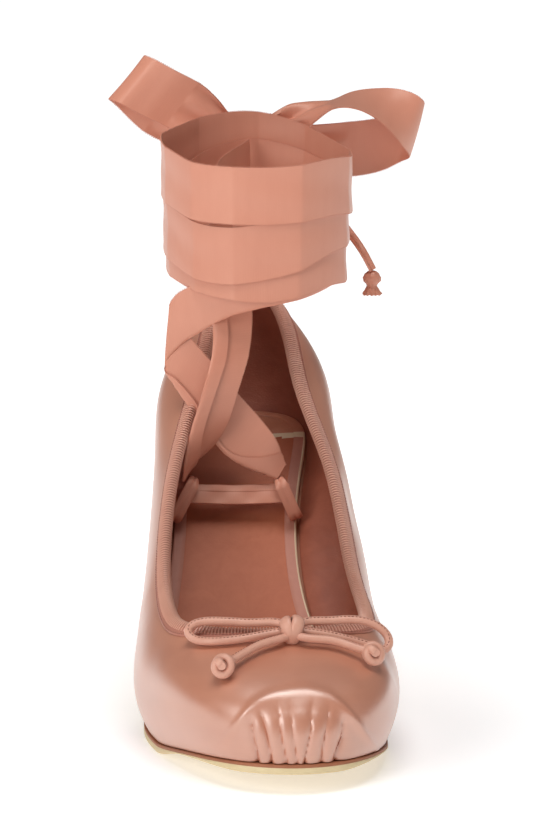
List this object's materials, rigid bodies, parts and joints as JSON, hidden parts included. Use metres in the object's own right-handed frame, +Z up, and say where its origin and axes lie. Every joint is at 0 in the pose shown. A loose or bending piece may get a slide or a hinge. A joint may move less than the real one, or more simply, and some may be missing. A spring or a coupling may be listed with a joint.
{
  "type": "ankle tie pump",
  "caption": "High-heeled satin pump for the right foot, with a pleated toe, a cord bow on the vamp and a ribbon tied round the ankle.",
  "frame": {"origin": "on the floor under the middle of the ball's tread", "axes": "+Z up, -Y towards the toe, +Y towards the heel, +X towards the inner side of the right foot"},
  "size_m": [0.1162, 0.2252, 0.2175],
  "materials": {
    "satin": "rose satin with a soft sheen",
    "ribbon_satin": "satin ribbon with a picot edge",
    "binding": "ribbed grosgrain tape",
    "cord_satin": "satin cord with a stitched seam",
    "sole_leather": "pale smooth sole leather with a brown upper strip",
    "sock_leather": "brown-red sock leather",
    "lift_rubber": "dull brown"
  },
  "bodies": {
    "root": {"upper": "satin", "heel": "satin", "topline_binding": "binding", "outsole": "sole_leather", "insole": "sock_leather", "top_lift": "lift_rubber", "tie_turn_low": "ribbon_satin", "tie_turn_middle": "ribbon_satin", "tie_turn_top": "ribbon_satin", "tie_riser_inner": "ribbon_satin", "tie_riser_outer": "ribbon_satin", "tie_instep": "ribbon_satin", "ribbon_loop_outer": "ribbon_satin", "ribbon_loop_inner": "ribbon_satin", "tie_knot": "ribbon_satin", "tie_bow_outer": "ribbon_satin", "tie_bow_inner": "ribbon_satin", "tie_tail_inner": "ribbon_satin", "tie_tail_outer": "ribbon_satin", "tie_tail_inner_knot": "ribbon_satin", "tie_tail_outer_knot": "ribbon_satin", "bow_knot": "cord_satin", "bow_loop_outer": "cord_satin", "bow_loop_inner": "cord_satin", "bow_end_outer": "cord_satin", "bow_end_inner": "cord_satin", "bow_end_outer_knot": "cord_satin", "bow_end_inner_knot": "cord_satin"}
  },
  "joints": []
}
